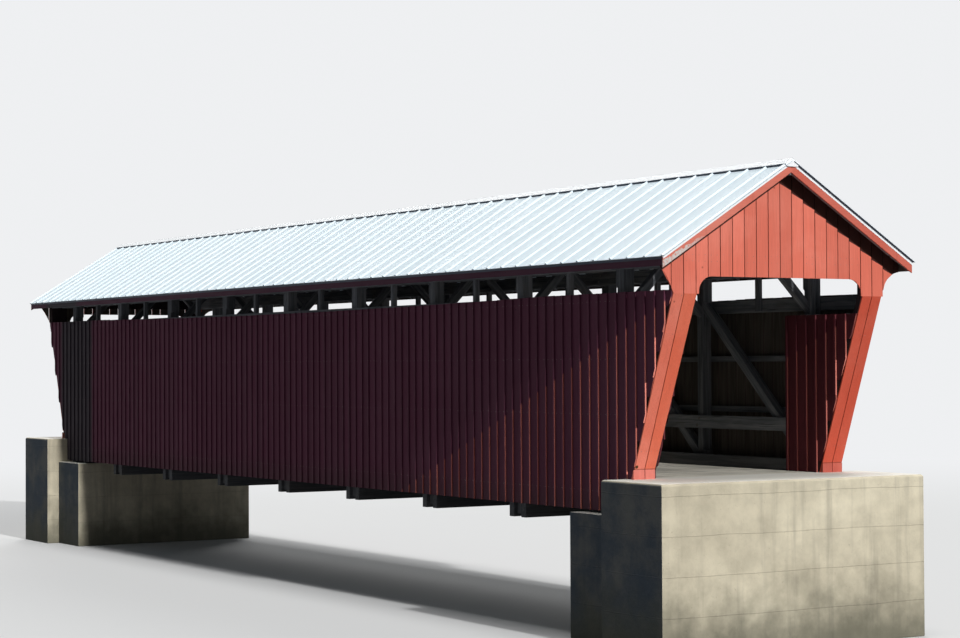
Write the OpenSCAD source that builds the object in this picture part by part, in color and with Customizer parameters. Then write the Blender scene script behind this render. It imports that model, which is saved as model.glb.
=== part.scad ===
// Covered timber bridge of eight panels, on two concrete abutments.
// +X runs along the bridge towards the near portal, the left side is at -Y,
// and the origin is on the ground under the middle of the span.

/* [Span] */
// Number of panels in each truss
panels = 8; // [4:2:10]
// Length of one truss panel
panel_l = 2975; // [2400:5:3300]
// Height of the deck above the foot of the abutments
deck_h = 2600; // [2000:50:4000]

/* [Walls] */
// Width over the outer edges of the portal legs
bridge_w = 4230; // [3800:10:5000]
// Distance from the outer edges of the legs in to the face of the siding
siding_set = 20; // [10:1:30]
// Thickness of every upright board
board_t = 25; // [15:1:40]
// Foot of the siding below the deck
siding_drop = 530; // [400:10:600]
// Top of the siding above the deck
siding_h = 2900; // [2500:10:3300]
// Gap between the siding and the approach block
siding_gap = 40; // [10:5:80]
// Distance that the siding reaches past the ends of the bottom chords
siding_reach = 50; // [10:5:80]

/* [Truss] */
// Thickness of the posts across the bridge
truss_t = 200; // [150:5:250]
// Width of the posts along the bridge, at their heads and feet
post_w = 220; // [150:5:300]
// Depth of the shoulders that the braces bear on
shoulder = 35; // [15:5:50]
// Length of the full width of a post beyond a chord, on a side without a shoulder
post_lap = 250; // [150:10:400]
// Thickness of the inner leaf of each chord
inner_leaf_t = 125; // [60:5:145]
// Thickness of the outer leaf of each chord and of the girts
outer_leaf_t = 70; // [50:5:100]
// Depth of the bottom chord
bottom_chord_d = 300; // [200:10:400]
// Depth of the top chord
top_chord_d = 230; // [150:5:280]
// Depth of the diagonal braces
brace_d = 150; // [100:5:220]
// Thickness of the diagonal braces across the bridge
brace_t = 160; // [100:5:200]
// Height of the foot of each brace above the deck, at its middle
brace_foot = 160; // [100:10:300]
// Distance from the top of the siding down to the head of each brace, at its middle
brace_drop = 80; // [0:10:300]
// Depth of the girts that carry the siding
girt_d = 100; // [60:5:150]
// Depth of the girt along the top of the siding
top_girt_d = 220; // [120:5:260]
// Heights of the middles of the lower and upper girts above the deck
girt_heights = [1000, 1880];
// Width of the studs in the open strip
stud_w = 90; // [50:5:120]
// Height that a stud laps down behind the top girt
stud_lap = 200; // [100:10:220]

/* [Floor] */
// Thickness of the deck planks
deck_t = 75; // [50:5:100]
// Width of one stringer
stringer_w = 150; // [100:5:200]
// Number of stringers
stringers_n = 7; // [5:1:9]
// Distance between the stringers
stringer_pitch = 500; // [400:10:520]
// Width of one floor beam
floor_beam_w = 150; // [120:5:200]
// Depth of the floor beams
floor_beam_d = 400; // [300:10:450]
// Clearance between the ends of the floor beams and the siding
beam_gap = 10; // [5:1:20]
// Distance that the tail of a post stops above the foot of its floor beams
tail_gap = 50; // [20:5:100]
// Height of the curbs
curb_h = 200; // [100:10:250]
// Height of the middle of the guard rail above the deck
rail_z = 770; // [600:10:900]
// Depth of the guard rail
rail_d = 230; // [150:10:250]
// Thickness of the guard rail
rail_t = 50; // [30:5:90]

/* [Portals] */
// Distance from the top of the siding down to the joint between gable and legs
joint_drop = 30; // [10:5:60]
// Distance that the portal leans out from its foot to the joint
lean = 1060; // [700:10:1200]
// Width of a portal leg
leg_w = 470; // [400:10:520]
// Height of the top of the portal opening above the joint of the legs
opening_rise = 270; // [230:10:320]
// Distance that the gable reaches past the inner edge of each leg, into the opening
opening_lap = 20; // [5:1:60]
// Radius of the hollow curve under each ear of the gable
ear_r = 370; // [300:5:400]
// Radius of the upper corners of the opening
opening_r = 250; // [100:10:260]
// Thickness of the studs between the header and the end rafters
gable_stud_t = 50; // [38:1:80]
// Distance between those studs
gable_stud_pitch = 600; // [400:10:620]
// Thickness of the jambs and of the header behind the boards
jamb_t = 100; // [60:5:140]
// Distance from the truss end post to the foot of the portal
portal_set = 466; // [440:2:600]
// Length of the boarding on the inner side of the wall end, at the deck
end_panel_l = 840; // [600:10:1100]
// Distance from the top of the siding down to the top of the boarding on its inner side
end_panel_drop = 300; // [290:10:600]
// Height of the plinth board at the foot of each leg
plinth_h = 150; // [100:10:250]
// Distance that the plinth board stands proud of the leg
plinth_t = 8; // [4:1:15]

/* [Roof] */
// Distance from the gable boards to the end of the roof
verge = 290; // [200:10:400]
// Overhang of the eaves beyond the battens
eave_overhang = 382; // [250:2:450]
// Height of the top of the roof at the eaves above the siding
strip_h = 520; // [490:2:600]
// Distance that the roof sheets reach past the fascias
drip = 17; // [5:1:30]
// Rise of the roof from the eaves to the ridge
roof_rise = 1540; // [1300:2:1700]
// Number of roof sheets along the bridge
sheets_n = 60; // [40:1:80]
// Thickness of the roof sheets
sheet_t = 8; // [4:1:12]
// Height of the standing seams
seam_h = 25; // [15:1:40]
// Thickness of the standing seams
seam_t = 12; // [6:1:20]
// Thickness of the purlins
purlin_t = 25; // [20:1:50]
// Width of the purlins
purlin_w = 120; // [80:5:200]
// Number of purlins on each slope
purlins_n = 8; // [5:1:10]
// Depth of the rafters
rafter_d = 125; // [100:5:160]
// Upright depth of the rafter tails behind the fascias
rafter_tail_d = 120; // [100:2:130]
// Thickness of the rafters
rafter_t = 50; // [38:1:80]
// Number of rafter pairs over each panel
rafters_per_panel = 5; // [4:1:6]
// Depth of the notch where a rafter sits on the top chord
rafter_notch = 25; // [10:1:35]
// Depth of the fascia boards
fascia_d = 115; // [80:5:160]
// Depth of the rake boards
rake_d = 150; // [80:5:180]
// Depth of the verge trims below the top of the sheets
verge_d = 50; // [20:2:80]
// Width of each wing of the ridge cap
cap_w = 170; // [120:5:250]
// Thickness of the ridge cap and of the verge trims
cap_t = 6; // [3:1:10]
// Length of the closed ends of the ridge cap
cap_end_l = 30; // [15:1:50]
// Depth of the closed ends below the edges of the cap
cap_end_d = 45; // [20:1:60]
// Depth of the ridge board
ridge_board_d = 180; // [150:5:220]
// Depth of the tie beams
tie_d = 140; // [100:5:160]
// Thickness of the knee braces
knee_t = 130; // [80:5:160]
// Distance from the top of the siding down to the foot of each knee brace, at its middle
knee_drop = 180; // [100:10:200]
// Width of the lateral braces
lateral_w = 100; // [60:5:150]
// Thickness of the lateral braces
lateral_t = 50; // [30:5:55]
// Clearance between the two layers of lateral braces
lateral_gap = 0.5; // [0.2:0.1:1]

/* [Abutments] */
// Width of the stem that carries the trusses
stem_w = 4600; // [4400:50:5000]
// Width of the approach block
block_w = 5200; // [4800:50:5600]
// Length of the approach block
block_l = 1600; // [1450:10:1800]
// Length of the bridge seat
seat_l = 1330; // [1200:10:1500]
// Depth of the bed timbers
bed_d = 200; // [150:10:250]
// Width of the bed timbers
bed_w = 300; // [200:10:350]
// Chamfer along the top edges of the approach block
chamfer = 20; // [10:1:40]

/* [Hidden] */
$fn = 96;
half_l = panels * panel_l / 2;
half_w = bridge_w / 2;
joint_h = siding_h - joint_drop;
opening_h = joint_h + opening_rise;
end_panel_h = siding_h - end_panel_drop;
brace_head = siding_h - brace_drop;
knee_foot = siding_h - knee_drop;
eave_h = siding_h + strip_h;
wall_out = half_w - siding_set;
wall_in = wall_out - board_t;
post_out = wall_in - outer_leaf_t;
post_in = post_out - truss_t;
leaf_in = post_in - inner_leaf_t;
leg_in = half_w - leg_w;
foot_x = half_l + portal_set;
gable_x = foot_x + lean;
roof_x = gable_x + verge;
slant = atan(lean / joint_h);
leg_back = board_t / cos(slant);
jamb_back = leg_back + jamb_t / cos(slant);
chord_end = half_l + post_w;
siding_end = chord_end + siding_reach;
block_x = siding_end + siding_gap;
block_end = block_x + block_l;
chord_under = -deck_t - bottom_chord_d;
beam_under = chord_under - floor_beam_d;
seat_z = chord_under - bed_d;
half_roof = half_w + eave_overhang;
ridge_h = eave_h + roof_rise;
pitch = atan(roof_rise / half_roof);
slope_l = half_roof / cos(pitch);
sheet_pitch = 2 * roof_x / sheets_n;
fascia_in = half_roof - drip - board_t;
plate_top = rafter_under(wall_in) + rafter_notch;
plate_under = plate_top - top_chord_d;
header_back = gable_x - board_t - jamb_t;
rafter_pitch = panel_l / rafters_per_panel;
panel_end = foot_x - end_panel_l;
brace_run = panel_l - post_w + 2 * shoulder;
brace_a = atan((brace_head - brace_foot) / brace_run);
brace_half = brace_d / 2 / cos(brace_a);
waist = post_w / 2 - shoulder;
head_lip = brace_z(post_w / 2) + brace_half;
head_seat = head_lip - shoulder / tan(brace_a);
foot_lip = brace_z(panel_l - post_w / 2) - brace_half;
foot_seat = foot_lip + shoulder / tan(brace_a);

// Height of the top of the roof above the deck, at a distance from the middle
function roof_top(y) = ridge_h - abs(y) * tan(pitch);
// Height of the underside of the purlins
function purlin_under(y) = roof_top(y) - (sheet_t + purlin_t) / cos(pitch);
// Height of the underside of the rafters
function rafter_under(y) = purlin_under(y) - rafter_d / cos(pitch);
// Place along the bridge of the outer face of the portal, at a height
function portal_x(z) = foot_x + z * tan(slant);
// Height of the middle of a brace, at a distance out from the post at its head
function brace_z(x) = brace_head - (x - waist) * tan(brace_a);
// Places of all posts, and of those between the abutments
post_xs = [for (k = [-panels / 2 : panels / 2]) k * panel_l];
inner_xs = [for (k = [1 - panels / 2 : panels / 2 - 1]) k * panel_l];

// Lifts what is drawn from the deck to its height above the ground
module on_deck() { translate([0, 0, deck_h]) children(); }
// Draws something at the near end, or its mirror image at the far end
module at_end(far) { if (far) mirror([1, 0, 0]) children(); else children(); }
// Draws something on the right side, or its mirror image on the left
module on_side(left) { if (left) mirror([0, 1, 0]) children(); else children(); }
module both_sides() { children(); mirror([0, 1, 0]) children(); }
module both_ends() { children(); mirror([1, 0, 0]) children(); }

// A box from its two corners
module block(a, b) { translate(a) cube(b - a); }

// An outline drawn in X and Z, carried across the bridge from y0 to y1
module side_plate(y0, y1) { translate([0, y1, 0]) rotate([90, 0, 0]) linear_extrude(y1 - y0) children(); }

// An outline drawn in Y and Z, carried along the bridge from x0 to x1
module cross_plate(x0, x1) {
    translate([x0, 0, 0]) rotate([90, 0, 90]) linear_extrude(x1 - x0) children();
}

// Lays something on the right slope: X along the bridge, Y down the slope, Z out of the roof
module on_slope() { translate([0, 0, ridge_h]) rotate([-pitch, 0, 0]) children(); }

// The concrete abutment: stem with the bridge seat, and approach block at deck level
module abutment() color("silver") on_deck() {
    block([block_x - seat_l, -stem_w / 2, -deck_h], [block_x, stem_w / 2, seat_z]);
    difference() {
        block([block_x, -block_w / 2, -deck_h], [block_end, block_w / 2, 0]);
        both_sides() translate([block_x - 1, block_w / 2, 0]) rotate([45, 0, 0])
            translate([0, -chamfer, -chamfer]) cube([block_l + 2, 2 * chamfer, 2 * chamfer]);
        translate([block_end, -block_w / 2 - 1, 0]) rotate([0, 45, 0])
            translate([-chamfer, 0, -chamfer]) cube([2 * chamfer, block_w + 2, 2 * chamfer]);
    }
}

// Cross timbers on the bridge seats, under the chords and the stringers
module bed_timbers() color("dimgray") on_deck() both_ends()
    for (x = [half_l - bed_w / 2, block_x - seat_l + bed_w / 2])
        block([x, -post_out, seat_z], [x + bed_w, post_out, chord_under]);

// Floor beams in pairs, one on each side of the tail of a post
module floor_beams() color("dimgray") on_deck() for (x = inner_xs, s = [-1, 1])
    translate([x + s * (post_w + floor_beam_w) / 2, 0, beam_under + floor_beam_d / 2])
        cube([floor_beam_w, 2 * (wall_in - beam_gap), floor_beam_d], center = true);

module stringers() color("dimgray") on_deck() for (k = [0 : stringers_n - 1])
    translate([0, (k - (stringers_n - 1) / 2) * stringer_pitch, -deck_t - bottom_chord_d / 2])
        cube([2 * chord_end, stringer_w, bottom_chord_d], center = true);

module deck() color("darkgray") on_deck()
    block([-block_x, -post_in, -deck_t], [block_x, post_in, 0]);

// The two leaves of a chord, one on each side of the posts
module chord(end, z0, z1) {
    block([-end, leaf_in, z0], [end, post_in, z1]);
    block([-end, post_out, z0], [end, wall_in, z1]);
}
module bottom_chord(left) color("dimgray") on_deck() on_side(left) chord(chord_end, chord_under, -deck_t);
module top_chord(left) color("dimgray") on_deck() on_side(left) chord(header_back, plate_under, plate_top);

// Outline of post k, counted from mid-span, with its shoulders; the outer side is towards the abutment
module post_outline(k) {
    w = post_w / 2;
    end = k == panels / 2;
    tail = end ? chord_under : beam_under + tail_gap;
    head_side = [[w, plate_top], [w, head_lip], [waist, head_seat],
                 [waist, post_lap + shoulder], [w, post_lap], [w, tail]];
    foot_side = [[-w, tail], [-w, foot_lip], [-waist, foot_seat],
                 [-waist, plate_under - post_lap - shoulder], [-w, plate_under - post_lap], [-w, plate_top]];
    plain_side = [[w, plate_top], [w, tail]];
    translate([k * panel_l, 0]) polygon(
        k == 0 ? concat(head_side, [for (i = [5 : -1 : 0]) [-head_side[i][0], head_side[i][1]]])
        : concat(end ? plain_side : head_side, foot_side));
}

// Posts between the leaves of the chords; the inner ones reach down between the floor beams
module posts(left) color("dimgray") on_deck() on_side(left) {
    both_ends() for (k = [1 : panels / 2]) side_plate(post_in, post_out) post_outline(k);
    side_plate(post_in, post_out) post_outline(0);
}

// One diagonal in each panel, rising towards the middle of the span, fitted to the shoulders
module braces(left) color("dimgray") on_deck() on_side(left) both_ends() for (k = [0 : panels / 2 - 1])
    side_plate(post_in + (truss_t - brace_t) / 2, post_out - (truss_t - brace_t) / 2)
        translate([k * panel_l, 0]) polygon([
            [post_w / 2, head_lip], [waist, head_seat], [waist, brace_z(waist) - brace_half],
            [panel_l - post_w / 2, foot_lip], [panel_l - waist, foot_seat],
            [panel_l - waist, brace_z(panel_l - waist) + brace_half]]);

// Nailers between the trusses and the siding, and cleats behind the inner end panels
module girts(left) color("dimgray") on_deck() on_side(left) {
    spans = concat([for (z = girt_heights) [z - girt_d / 2, z + girt_d / 2]],
                   [[siding_h - top_girt_d, siding_h]]);
    for (s = spans) side_plate(post_out, wall_in)
        polygon([[-portal_x(s[0]) + jamb_back, s[0]], [portal_x(s[0]) - jamb_back, s[0]],
                 [portal_x(s[1]) - jamb_back, s[1]], [-portal_x(s[1]) + jamb_back, s[1]]]);
    both_ends() for (z = concat(girt_heights, [end_panel_h - girt_d / 2])) side_plate(leaf_in, post_in)
        polygon([[panel_end, z - girt_d / 2], [portal_x(z - girt_d / 2) - jamb_back, z - girt_d / 2],
                 [portal_x(z + girt_d / 2) - jamb_back, z + girt_d / 2], [panel_end, z + girt_d / 2]]);
}

// Short studs at mid-panel, from the top girt up between the leaves of the top chord
module strip_studs() color("dimgray") on_deck() both_sides() for (k = [0 : panels - 1])
    block([(k + 0.5) * panel_l - half_l - stud_w / 2, post_out - stud_w, siding_h - stud_lap],
          [(k + 0.5) * panel_l - half_l + stud_w / 2, post_out, plate_top]);

module guard_rails() color("gray") on_deck() both_sides()
    block([-half_l - post_w / 2, post_in - rail_t, rail_z - rail_d / 2],
          [half_l + post_w / 2, post_in, rail_z + rail_d / 2]);

module curbs() color("gray") on_deck() both_sides()
    block([-block_x, leaf_in, 0], [block_x, post_in, curb_h]);

// Tie beams across the top chords at every post
module tie_beams() color("dimgray") on_deck() for (x = post_xs)
    block([x - post_w / 2, -post_out, plate_top], [x + post_w / 2, post_out, plate_top + tie_d]);

// Knee braces at 45 degrees from the posts to the tie beams
module knee_braces() color("dimgray") on_deck() both_sides() for (x = post_xs) {
    half_d = knee_t / 2 / cos(45);
    reach = plate_top - knee_foot;
    cross_plate(x - knee_t / 2, x + knee_t / 2)
        polygon([[post_in, knee_foot - half_d], [post_in, knee_foot + half_d],
                 [post_in - reach + half_d, plate_top], [post_in - reach - half_d, plate_top]]);
}

// Crossed braces lying flat between the tie beams, one on top of the other
module lateral_braces() color("dimgray") on_deck() for (k = [0 : panels - 1], s = [-1, 1]) {
    x0 = -half_l + k * panel_l + post_w / 2;
    x1 = x0 + panel_l - post_w;
    y = (leaf_in + post_in) / 2 - lateral_w / 2;
    wide = lateral_w / cos(atan(2 * y / (x1 - x0))) / 2;
    translate([0, 0, plate_top + (s > 0 ? lateral_t + lateral_gap : 0)]) linear_extrude(lateral_t)
        polygon([[x0, -s * y - wide], [x0, -s * y + wide], [x1, s * y + wide], [x1, s * y - wide]]);
}

// One rafter from the ridge board to the fascia, notched over the outer leaf of the top chord,
// with a tail that gets slimmer towards the fascia
module rafter() {
    y0 = board_t / 2;
    polygon([[y0, rafter_under(y0)], [y0, purlin_under(y0)], [fascia_in, purlin_under(fascia_in)],
             [fascia_in, purlin_under(fascia_in) - rafter_tail_d], [wall_in, rafter_under(wall_in)],
             [wall_in, plate_top], [wall_in - rafter_notch / tan(pitch), plate_top]]);
}
rafter_xs = concat([for (k = [0 : rafters_per_panel * panels - 1]) (k + 0.5) * rafter_pitch - half_l],
                   [for (s = [-1, 1], k = [0.5, 1.5]) s * (half_l + k * rafter_pitch)],
                   [for (s = [-1, 1]) s * (header_back + jamb_t / 2)],
                   [for (s = [-1, 1]) s * (roof_x - board_t - rafter_t / 2)]);
module rafters() color("dimgray") on_deck() for (x = rafter_xs) both_sides()
    cross_plate(x - rafter_t / 2, x + rafter_t / 2) rafter();

module ridge_board() color("dimgray") on_deck()
    block([-roof_x + board_t, -board_t / 2, purlin_under(board_t / 2) - ridge_board_d],
          [roof_x - board_t, board_t / 2, purlin_under(board_t / 2)]);

// Purlins laid flat on the rafters under the roof sheets
module purlins(left) color("dimgray") on_deck() on_side(left) on_slope() for (k = [0 : purlins_n - 1]) {
    first = 2 * (sheet_t + purlin_t);
    last = slope_l - purlin_w - drip / cos(pitch);
    y = first + k * (last - first) / (purlins_n - 1);
    block([-roof_x + board_t, y, -sheet_t - purlin_t], [roof_x - board_t, y + purlin_w, -sheet_t]);
}

// Sheets with standing seams, as one folded outline carried down the slope
module roof(left) color("white") on_deck() on_side(left) on_slope() {
    seam_xs = [for (k = [0 : sheets_n]) min(max(k * sheet_pitch - roof_x, seam_t / 2 - roof_x), roof_x - seam_t / 2)];
    first = 2 * sheet_t;
    translate([0, slope_l, 0]) rotate([90, 0, 0]) linear_extrude(slope_l - first)
        polygon(concat([[-roof_x, -sheet_t]],
                       [for (x = seam_xs, p = [[-1, 0], [-1, 1], [1, 1], [1, 0]]) [x + p[0] * seam_t / 2, p[1] * seam_h]],
                       [[roof_x, -sheet_t]]));
}

// Folded cap over the ridge, resting on the seams, with a six-sided closed box at each end
module ridge_cap() color("white") on_deck() {
    lift = seam_h / cos(pitch);
    top = lift + cap_t / cos(pitch);
    reach = cap_w * cos(pitch);
    foot = reach - cap_end_d;
    edge_z = roof_top(reach) + top;
    end_x = roof_x + cap_t;
    cross_plate(-end_x, end_x)
        polygon([[0, ridge_h + lift], [reach, roof_top(reach) + lift], [reach, edge_z],
                 [0, ridge_h + top], [-reach, edge_z], [-reach, roof_top(reach) + lift]]);
    both_ends() cross_plate(end_x, end_x + cap_end_l)
        polygon([[-foot, edge_z - cap_end_d], [foot, edge_z - cap_end_d], [reach, edge_z],
                 [0, ridge_h + top], [-reach, edge_z]]);
}

// Trims that turn down over the ends of the roof sheets
module verge_trims(far) color("white") on_deck() at_end(far) both_sides() {
    on_slope() block([roof_x, 2 * sheet_t, -verge_d], [roof_x + cap_t, slope_l, seam_h]);
}

// Outline of a wall with ends cut to the slant of the portal
module siding(left) color("maroon") on_deck() on_side(left) side_plate(wall_in, wall_out) {
    x0 = portal_x(0) - leg_back;
    x1 = portal_x(joint_h) - leg_back;
    right = [[siding_end, -siding_drop], [siding_end, 0], [x0, 0], [x1, joint_h], [x1, siding_h]];
    polygon(concat(right, [for (k = [4 : -1 : 0]) [-right[k][0], right[k][1]]]));
}

module fascias() color("maroon") on_deck() both_sides()
    block([-roof_x + board_t, fascia_in, purlin_under(fascia_in + board_t) - fascia_d],
          [roof_x - board_t, fascia_in + board_t, purlin_under(fascia_in + board_t)]);

// Boarded gable with hollow curved ears and a rounded opening
module gable(far) color("firebrick") on_deck() at_end(far) cross_plate(gable_x - board_t, gable_x)
    difference() {
        polygon([[-fascia_in, joint_h], [fascia_in, joint_h], [fascia_in, purlin_under(fascia_in)],
                 [0, purlin_under(0)], [-fascia_in, purlin_under(fascia_in)]]);
        opening();
        both_ends() ear_cut();
    }

// The portal opening above the joint of the legs
module opening() {
    rise = opening_h - joint_h;
    edge = leg_in - opening_lap;
    translate([-edge + opening_r, joint_h - rise]) square([2 * (edge - opening_r), 2 * rise]);
    translate([-edge, joint_h - rise]) square([2 * edge, 2 * rise - opening_r]);
    both_ends() translate([edge - opening_r, opening_h - opening_r]) circle(opening_r);
}

// The hollow curve under the end of the eaves
module ear_cut() {
    translate([half_w + ear_r, siding_h]) circle(ear_r);
    translate([half_w, joint_h - ear_r]) square([2 * ear_r, siding_h - joint_h + ear_r]);
}

// Rake boards under the ends of the roof sheets
module rakes(far) color("firebrick") on_deck() at_end(far) cross_plate(roof_x - board_t, roof_x) both_ends() {
    top = sheet_t / cos(pitch);
    deep = top + rake_d / cos(pitch);
    last = half_roof - drip;
    polygon([[0, ridge_h - top], [last, roof_top(last) - top],
             [last, roof_top(last) - deep], [0, ridge_h - deep]]);
}

// The slanted boarded legs of the portal, with a plinth board at the foot
module legs(far) color("firebrick") on_deck() at_end(far) both_sides() {
    side_plate(leg_in, half_w) polygon([[foot_x - leg_back, 0], [foot_x, 0],
                                        [gable_x, joint_h], [gable_x - leg_back, joint_h]]);
    side_plate(leg_in, half_w) polygon([[foot_x, 0], [foot_x + plinth_t, 0],
        [portal_x(plinth_h) + plinth_t, plinth_h], [portal_x(plinth_h), plinth_h]]);
}

// Header across the ends of the top chords, and slanted jambs with upright heads
module frame(far) color("dimgray") on_deck() at_end(far) {
    for (k = [-2 : 2]) gable_stud(k * gable_stud_pitch, gable_stud_t / 2);
    block([header_back, -wall_in, plate_under], [gable_x - board_t, wall_in, plate_top]);
    both_sides() side_plate(leaf_in, wall_in)
        polygon([[foot_x - jamb_back, 0], [foot_x - leg_back, 0], [gable_x - leg_back, joint_h],
                 [gable_x - board_t, joint_h], [gable_x - board_t, plate_under],
                 [header_back, plate_under], [header_back, joint_h]]);
}

// A stud from the header up to the end rafters
module gable_stud(y, half) cross_plate(header_back, gable_x - board_t)
    polygon([[y - half, plate_top], [y - half, rafter_under(y - half)], [y, rafter_under(y)],
             [y + half, rafter_under(y + half)], [y + half, plate_top]]);

// Boarding on the inner side of the wall ends
module end_panels(far) color("maroon") on_deck() at_end(far) both_sides()
    side_plate(leaf_in - board_t, leaf_in)
        polygon([[panel_end, 0], [portal_x(0) - leg_back, 0],
                 [portal_x(end_panel_h) - leg_back, end_panel_h], [panel_end, end_panel_h]]);

abutment();  // near_abutment
at_end(true) abutment();  // far_abutment
bed_timbers();
floor_beams();
stringers();
deck();
bottom_chord(true);  // left_bottom_chord
bottom_chord(false);  // right_bottom_chord
posts(true);  // left_posts
posts(false);  // right_posts
braces(true);  // left_braces
braces(false);  // right_braces
top_chord(true);  // left_top_chord
top_chord(false);  // right_top_chord
girts(true);  // left_girts
girts(false);  // right_girts
strip_studs();
guard_rails();
curbs();
tie_beams();
knee_braces();
lateral_braces();
rafters();
ridge_board();
purlins(true);  // left_purlins
purlins(false);  // right_purlins
roof(true);  // left_roof
roof(false);  // right_roof
ridge_cap();
verge_trims(false);  // near_verge_trims
verge_trims(true);  // far_verge_trims
siding(true);  // left_siding
siding(false);  // right_siding
fascias();
gable(false);  // near_gable
gable(true);  // far_gable
rakes(false);  // near_rakes
rakes(true);  // far_rakes
legs(false);  // near_legs
legs(true);  // far_legs
frame(false);  // near_frame
frame(true);  // far_frame
end_panels(false);  // near_end_panels
end_panels(true);  // far_end_panels
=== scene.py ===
"""A covered timber bridge: painted boards and battens, weathered truss timbers, a white metal roof
and concrete abutments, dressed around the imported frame. All sizes are in metres."""
import math
import bmesh
import bpy
import numpy as np
from mathutils import Matrix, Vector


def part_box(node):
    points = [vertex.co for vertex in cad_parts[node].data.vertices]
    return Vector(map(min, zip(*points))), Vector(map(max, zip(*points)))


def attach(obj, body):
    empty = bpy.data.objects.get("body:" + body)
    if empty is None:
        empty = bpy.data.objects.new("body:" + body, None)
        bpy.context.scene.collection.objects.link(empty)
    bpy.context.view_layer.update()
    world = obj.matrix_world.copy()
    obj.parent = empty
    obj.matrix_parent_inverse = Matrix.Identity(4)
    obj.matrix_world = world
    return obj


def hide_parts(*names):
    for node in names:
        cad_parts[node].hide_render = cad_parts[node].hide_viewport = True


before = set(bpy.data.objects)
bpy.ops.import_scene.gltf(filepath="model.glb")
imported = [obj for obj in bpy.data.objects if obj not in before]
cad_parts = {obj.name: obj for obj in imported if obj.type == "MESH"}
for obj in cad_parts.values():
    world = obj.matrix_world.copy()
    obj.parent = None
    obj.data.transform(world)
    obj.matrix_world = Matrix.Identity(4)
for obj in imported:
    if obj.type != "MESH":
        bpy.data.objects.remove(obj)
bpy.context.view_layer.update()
RNG = np.random.default_rng(1871)

# The photograph's frame, and the camera that was fitted to it
PHOTO_W = 960
LENS_PX = 2212.81
SENSOR_MM = 36.0
CAMERA_AT = (40.638, -22.033, 4.399)
CAMERA_YAW, CAMERA_PITCH, CAMERA_ROLL = 148.7447, 1.18373, -0.28073

# Boards, battens and planks
BOARD_T = 0.025
BOARD_GAP = 0.006
GABLE_GAP = 0.014
LEG_GAP = 0.010
BATTEN_W = 0.050
BATTEN_T = 0.025
SIDING_PITCH = 0.2566
INNER_PITCH = 0.2475
GABLE_BOARD_W = 0.235
PLANK_W = 0.203
PLANK_GAP = 0.006
CHAMFER = 0.003
# Width of the tip that is missing from a board cut to the slant of a leg, and the narrowest board at the
# end of the inner boarding
TIP_W = 0.110
NARROWEST = 0.020
# The most by which one board, batten or plank differs from the next: its face set back, its hollow, the
# height of its top, its width, its place, and how far it reaches
SET_BACK = 0.0015
GABLE_SET_BACK = 0.004
LEG_SET_BACK = 0.003
CUP = 0.0012
GABLE_CUP = 0.003
BOARD_TOPS = 0.006
BATTEN_TOPS = 0.010
BATTEN_WIDTHS = 0.003
BATTEN_SHIFT = 0.004
PLANK_TOPS = 0.004
PLANK_ENDS = 0.012
# The opening of the portal. The gable boards reach further into it than the legs, more on the left than on
# the right
OPENING_LEFT = 1.590
OPENING_RIGHT = 1.658
OPENING_RISE = 0.270
OPENING_R = 0.250
EAR_R = 0.370
# The left ear is flatter than the right one and starts inside the leg: its distance out from there is
# EAR_SLANT times the height above the joint plus EAR_BOW times its square, and it rises behind the fascia
# by no more than EAR_LAP
EAR_LEFT = 2.070
EAR_SLANT = 0.420
EAR_BOW = 0.300
EAR_LAP = 0.010
# Edges of the two boards of the left and right legs, as distances from the middle at the deck and at the
# joint: the left leg stands skewed
LEG_EDGES = {-1: ((1.722, 1.632), (1.915, 1.874), (2.103, 2.075)),
             1: ((1.668, 1.682), (1.872, 1.880), (2.078, 2.078))}
# How far a portal leg leans out between the deck and its joint with the gable
LEAN_RUN = 1.060
# The plinth blocks: their height, how far they stand in front of the leg, and how far that of a left leg
# reaches out past it
PLINTH_H = 0.150
PLINTH_PROUD = 0.008
PLINTH_OUT = 0.030
# Gap between the siding and the concrete block
SLAB_GAP = 0.040
# Roof sheets and the purlins under them. Between their ribs the sheets billow by this much either way
SHEET_T = 0.008
PURLIN_T = 0.025
SEAM_H = 0.025
BILLOW = 0.001
SHEETS = 60
RIB_FOOT = 0.032
RIB_TOP = 0.012
# The closures between the ribs under the ridge cap, as distances down the slope, and how much lower than
# the ribs they are
CLOSURE = (0.150, 0.162)
CLOSURE_DROP = 0.001
# The roof metal runs out past the verge trims in a lip, with a dark hem under it that is painted shade: how
# far it goes out and back in from the end of the sheets, its thickness, the gap to the hem under it, and
# where it starts below the ridge
LIP_OUT = 0.053
LIP_IN = 0.010
LIP_T = 0.004
HEM_GAP = 0.0005
LIP_START = 0.030
# Fascias and drip edges: how many lengths, and the gaps between them. The metal of a drip edge hangs down
# by its depth and is kicked out at its foot
FASCIA_BOARDS = 6
FASCIA_GAP = 0.003
DRIPS = 9
DRIP_GAP = 0.002
DRIP_D = 0.045
DRIP_T = 0.003
DRIP_KICK = 0.006
# The trusses: panels, and the heights above the deck where boards and rails are fixed
PANEL_L = 2.975
GIRTS = (-0.220, 1.000, 1.880, 2.790)
RAIL_Z = 0.770
RAIL_T = 0.050
# Nails: radius, how far they stand out of the siding, the gable and the legs, how far their places vary
# there, how far apart a pair is on a siding board, the parts of the width at which a pair is on a gable
# board and on a leg board, and the heights above the deck at the portal
NAIL_R = 0.0050
NAIL_OUT = 0.0014
GABLE_NAIL_OUT = 0.003
LEG_NAIL_OUT = 0.004
NAIL_JITTER = 0.008
GABLE_NAIL_JITTER = 0.006
LEG_NAIL_JITTER = 0.010
NAIL_PAIR = 0.130
GABLE_NAILS = (0.25, 0.75)
LEG_NAILS = (0.22, 0.78)
HEADER_NAILS = (3.37, 3.47)
LEG_NAILS_FROM = 0.45
LEG_NAILS_PITCH = 0.60
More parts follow.
